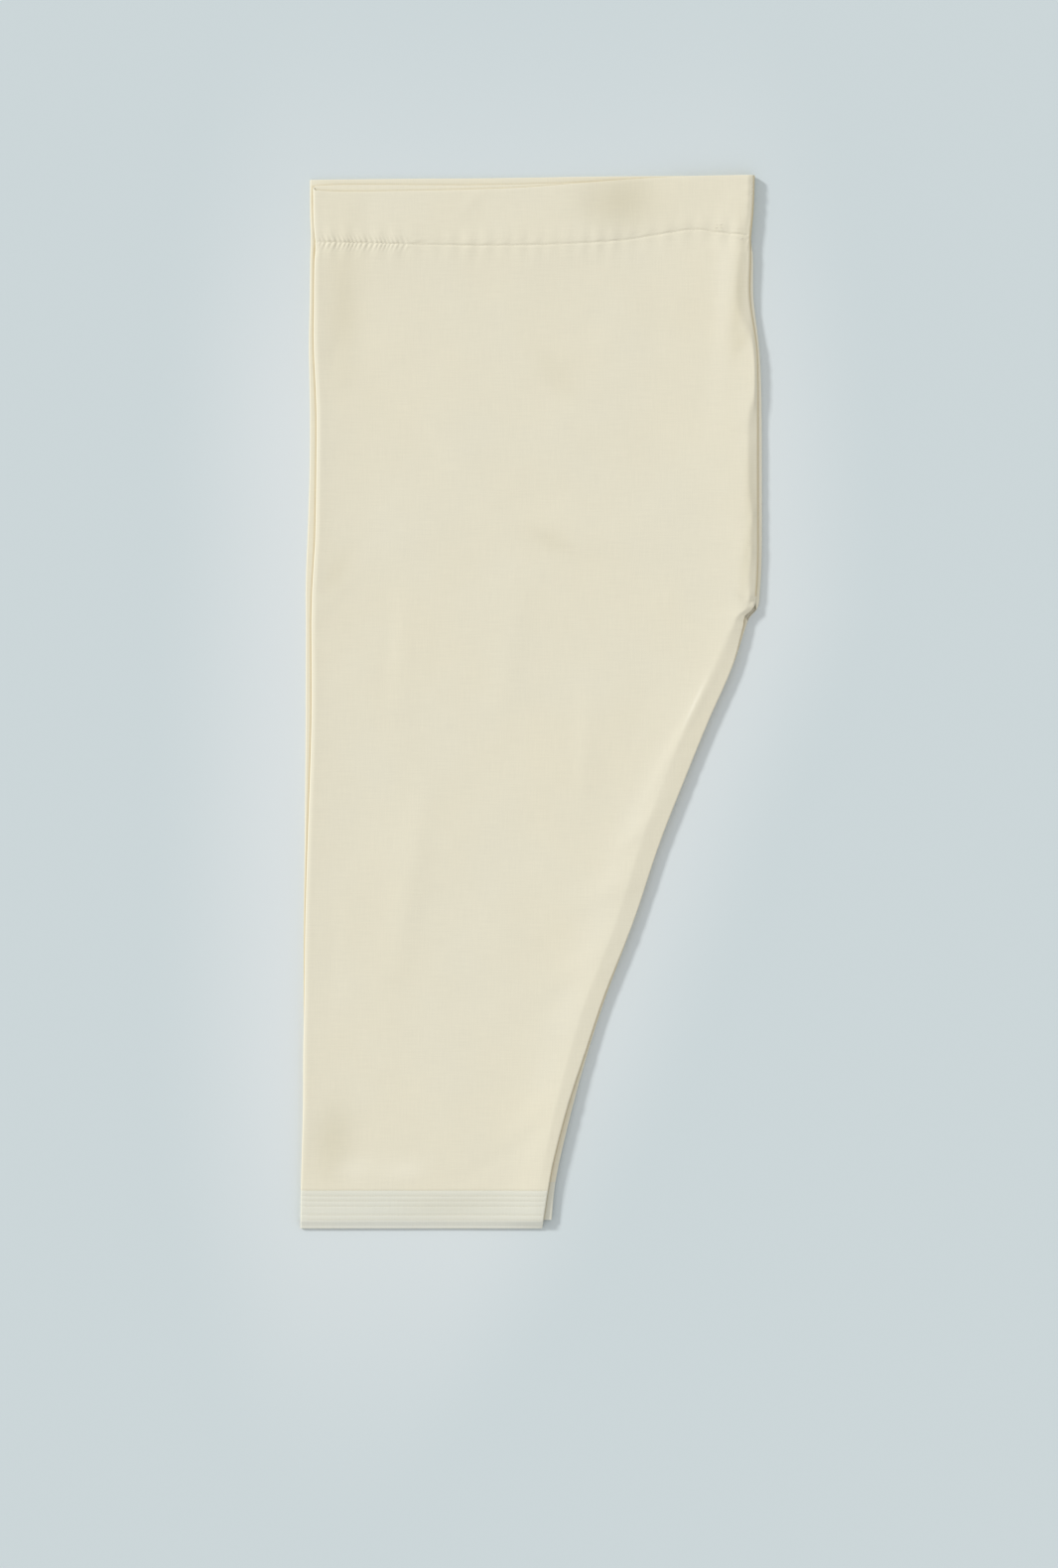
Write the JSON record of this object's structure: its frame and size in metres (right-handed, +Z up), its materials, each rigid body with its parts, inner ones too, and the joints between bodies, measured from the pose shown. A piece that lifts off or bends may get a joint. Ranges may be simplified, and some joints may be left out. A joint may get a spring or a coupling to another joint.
{
  "type": "shalwar trousers",
  "caption": "Loose cream cotton shalwar trousers with a deep gathered drawstring casing and stitched hem cuffs, folded in half lengthwise with its legs stacked, and laid flat.",
  "frame": {"origin": "middle of the garment's outline, on the table that it lies on", "axes": "+Z up from the table, +Y lengthwise from the hems to the waist, +X across from the side folds to the centre seam"},
  "size_m": [0.4235, 0.9653, 0.0099],
  "materials": {
    "cotton": "plain woven cream cotton, matt with a faint sheen",
    "casing_cotton": "the same cotton, doubled and gathered by its stitching",
    "cuff_cotton": "the same cotton, stiffened and sewn with close rows of stitching"
  },
  "bodies": {
    "root": {"left_leg": "cotton", "right_leg": "cotton", "left_waist_casing": "casing_cotton", "right_waist_casing": "casing_cotton", "left_hem_cuff": "cuff_cotton", "right_hem_cuff": "cuff_cotton"}
  },
  "joints": []
}
